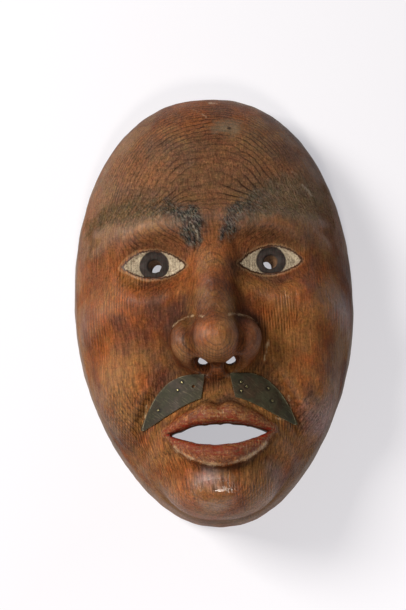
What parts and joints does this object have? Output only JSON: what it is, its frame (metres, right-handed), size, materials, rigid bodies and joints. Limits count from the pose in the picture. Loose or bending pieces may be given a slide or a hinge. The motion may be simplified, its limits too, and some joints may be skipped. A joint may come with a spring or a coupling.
{
  "type": "carved face mask",
  "caption": "Hollow carved wooden face mask with pierced eyes, nostrils and parted lips, and a moustache of two pinned sheet-copper plates.",
  "frame": {"origin": "middle of the underside: the plane of the back rim, under the middle of the face", "axes": "+X to the viewer's right, +Y towards the forehead, +Z out of the face, with the mask lying on its back rim"},
  "size_m": [0.168, 0.26, 0.1057],
  "materials": {
    "carved_wood": "red-brown stained and worn wood with growth rings, faded dark brow bands, painted eyes and red lips",
    "sheet_copper": "dark grey-green patinated sheet copper",
    "pin_metal": "dull worn metal pins"
  },
  "bodies": {
    "root": {"carved_mask": "carved_wood", "moustache_plate_left": "sheet_copper", "moustache_plate_right": "sheet_copper", "plate_pin_left_1": "pin_metal", "plate_pin_left_2": "pin_metal", "plate_pin_left_3": "pin_metal", "plate_pin_right_1": "pin_metal", "plate_pin_right_2": "pin_metal", "plate_pin_right_3": "pin_metal", "plate_pin_right_4": "pin_metal", "plate_pin_right_5": "pin_metal"}
  },
  "joints": []
}
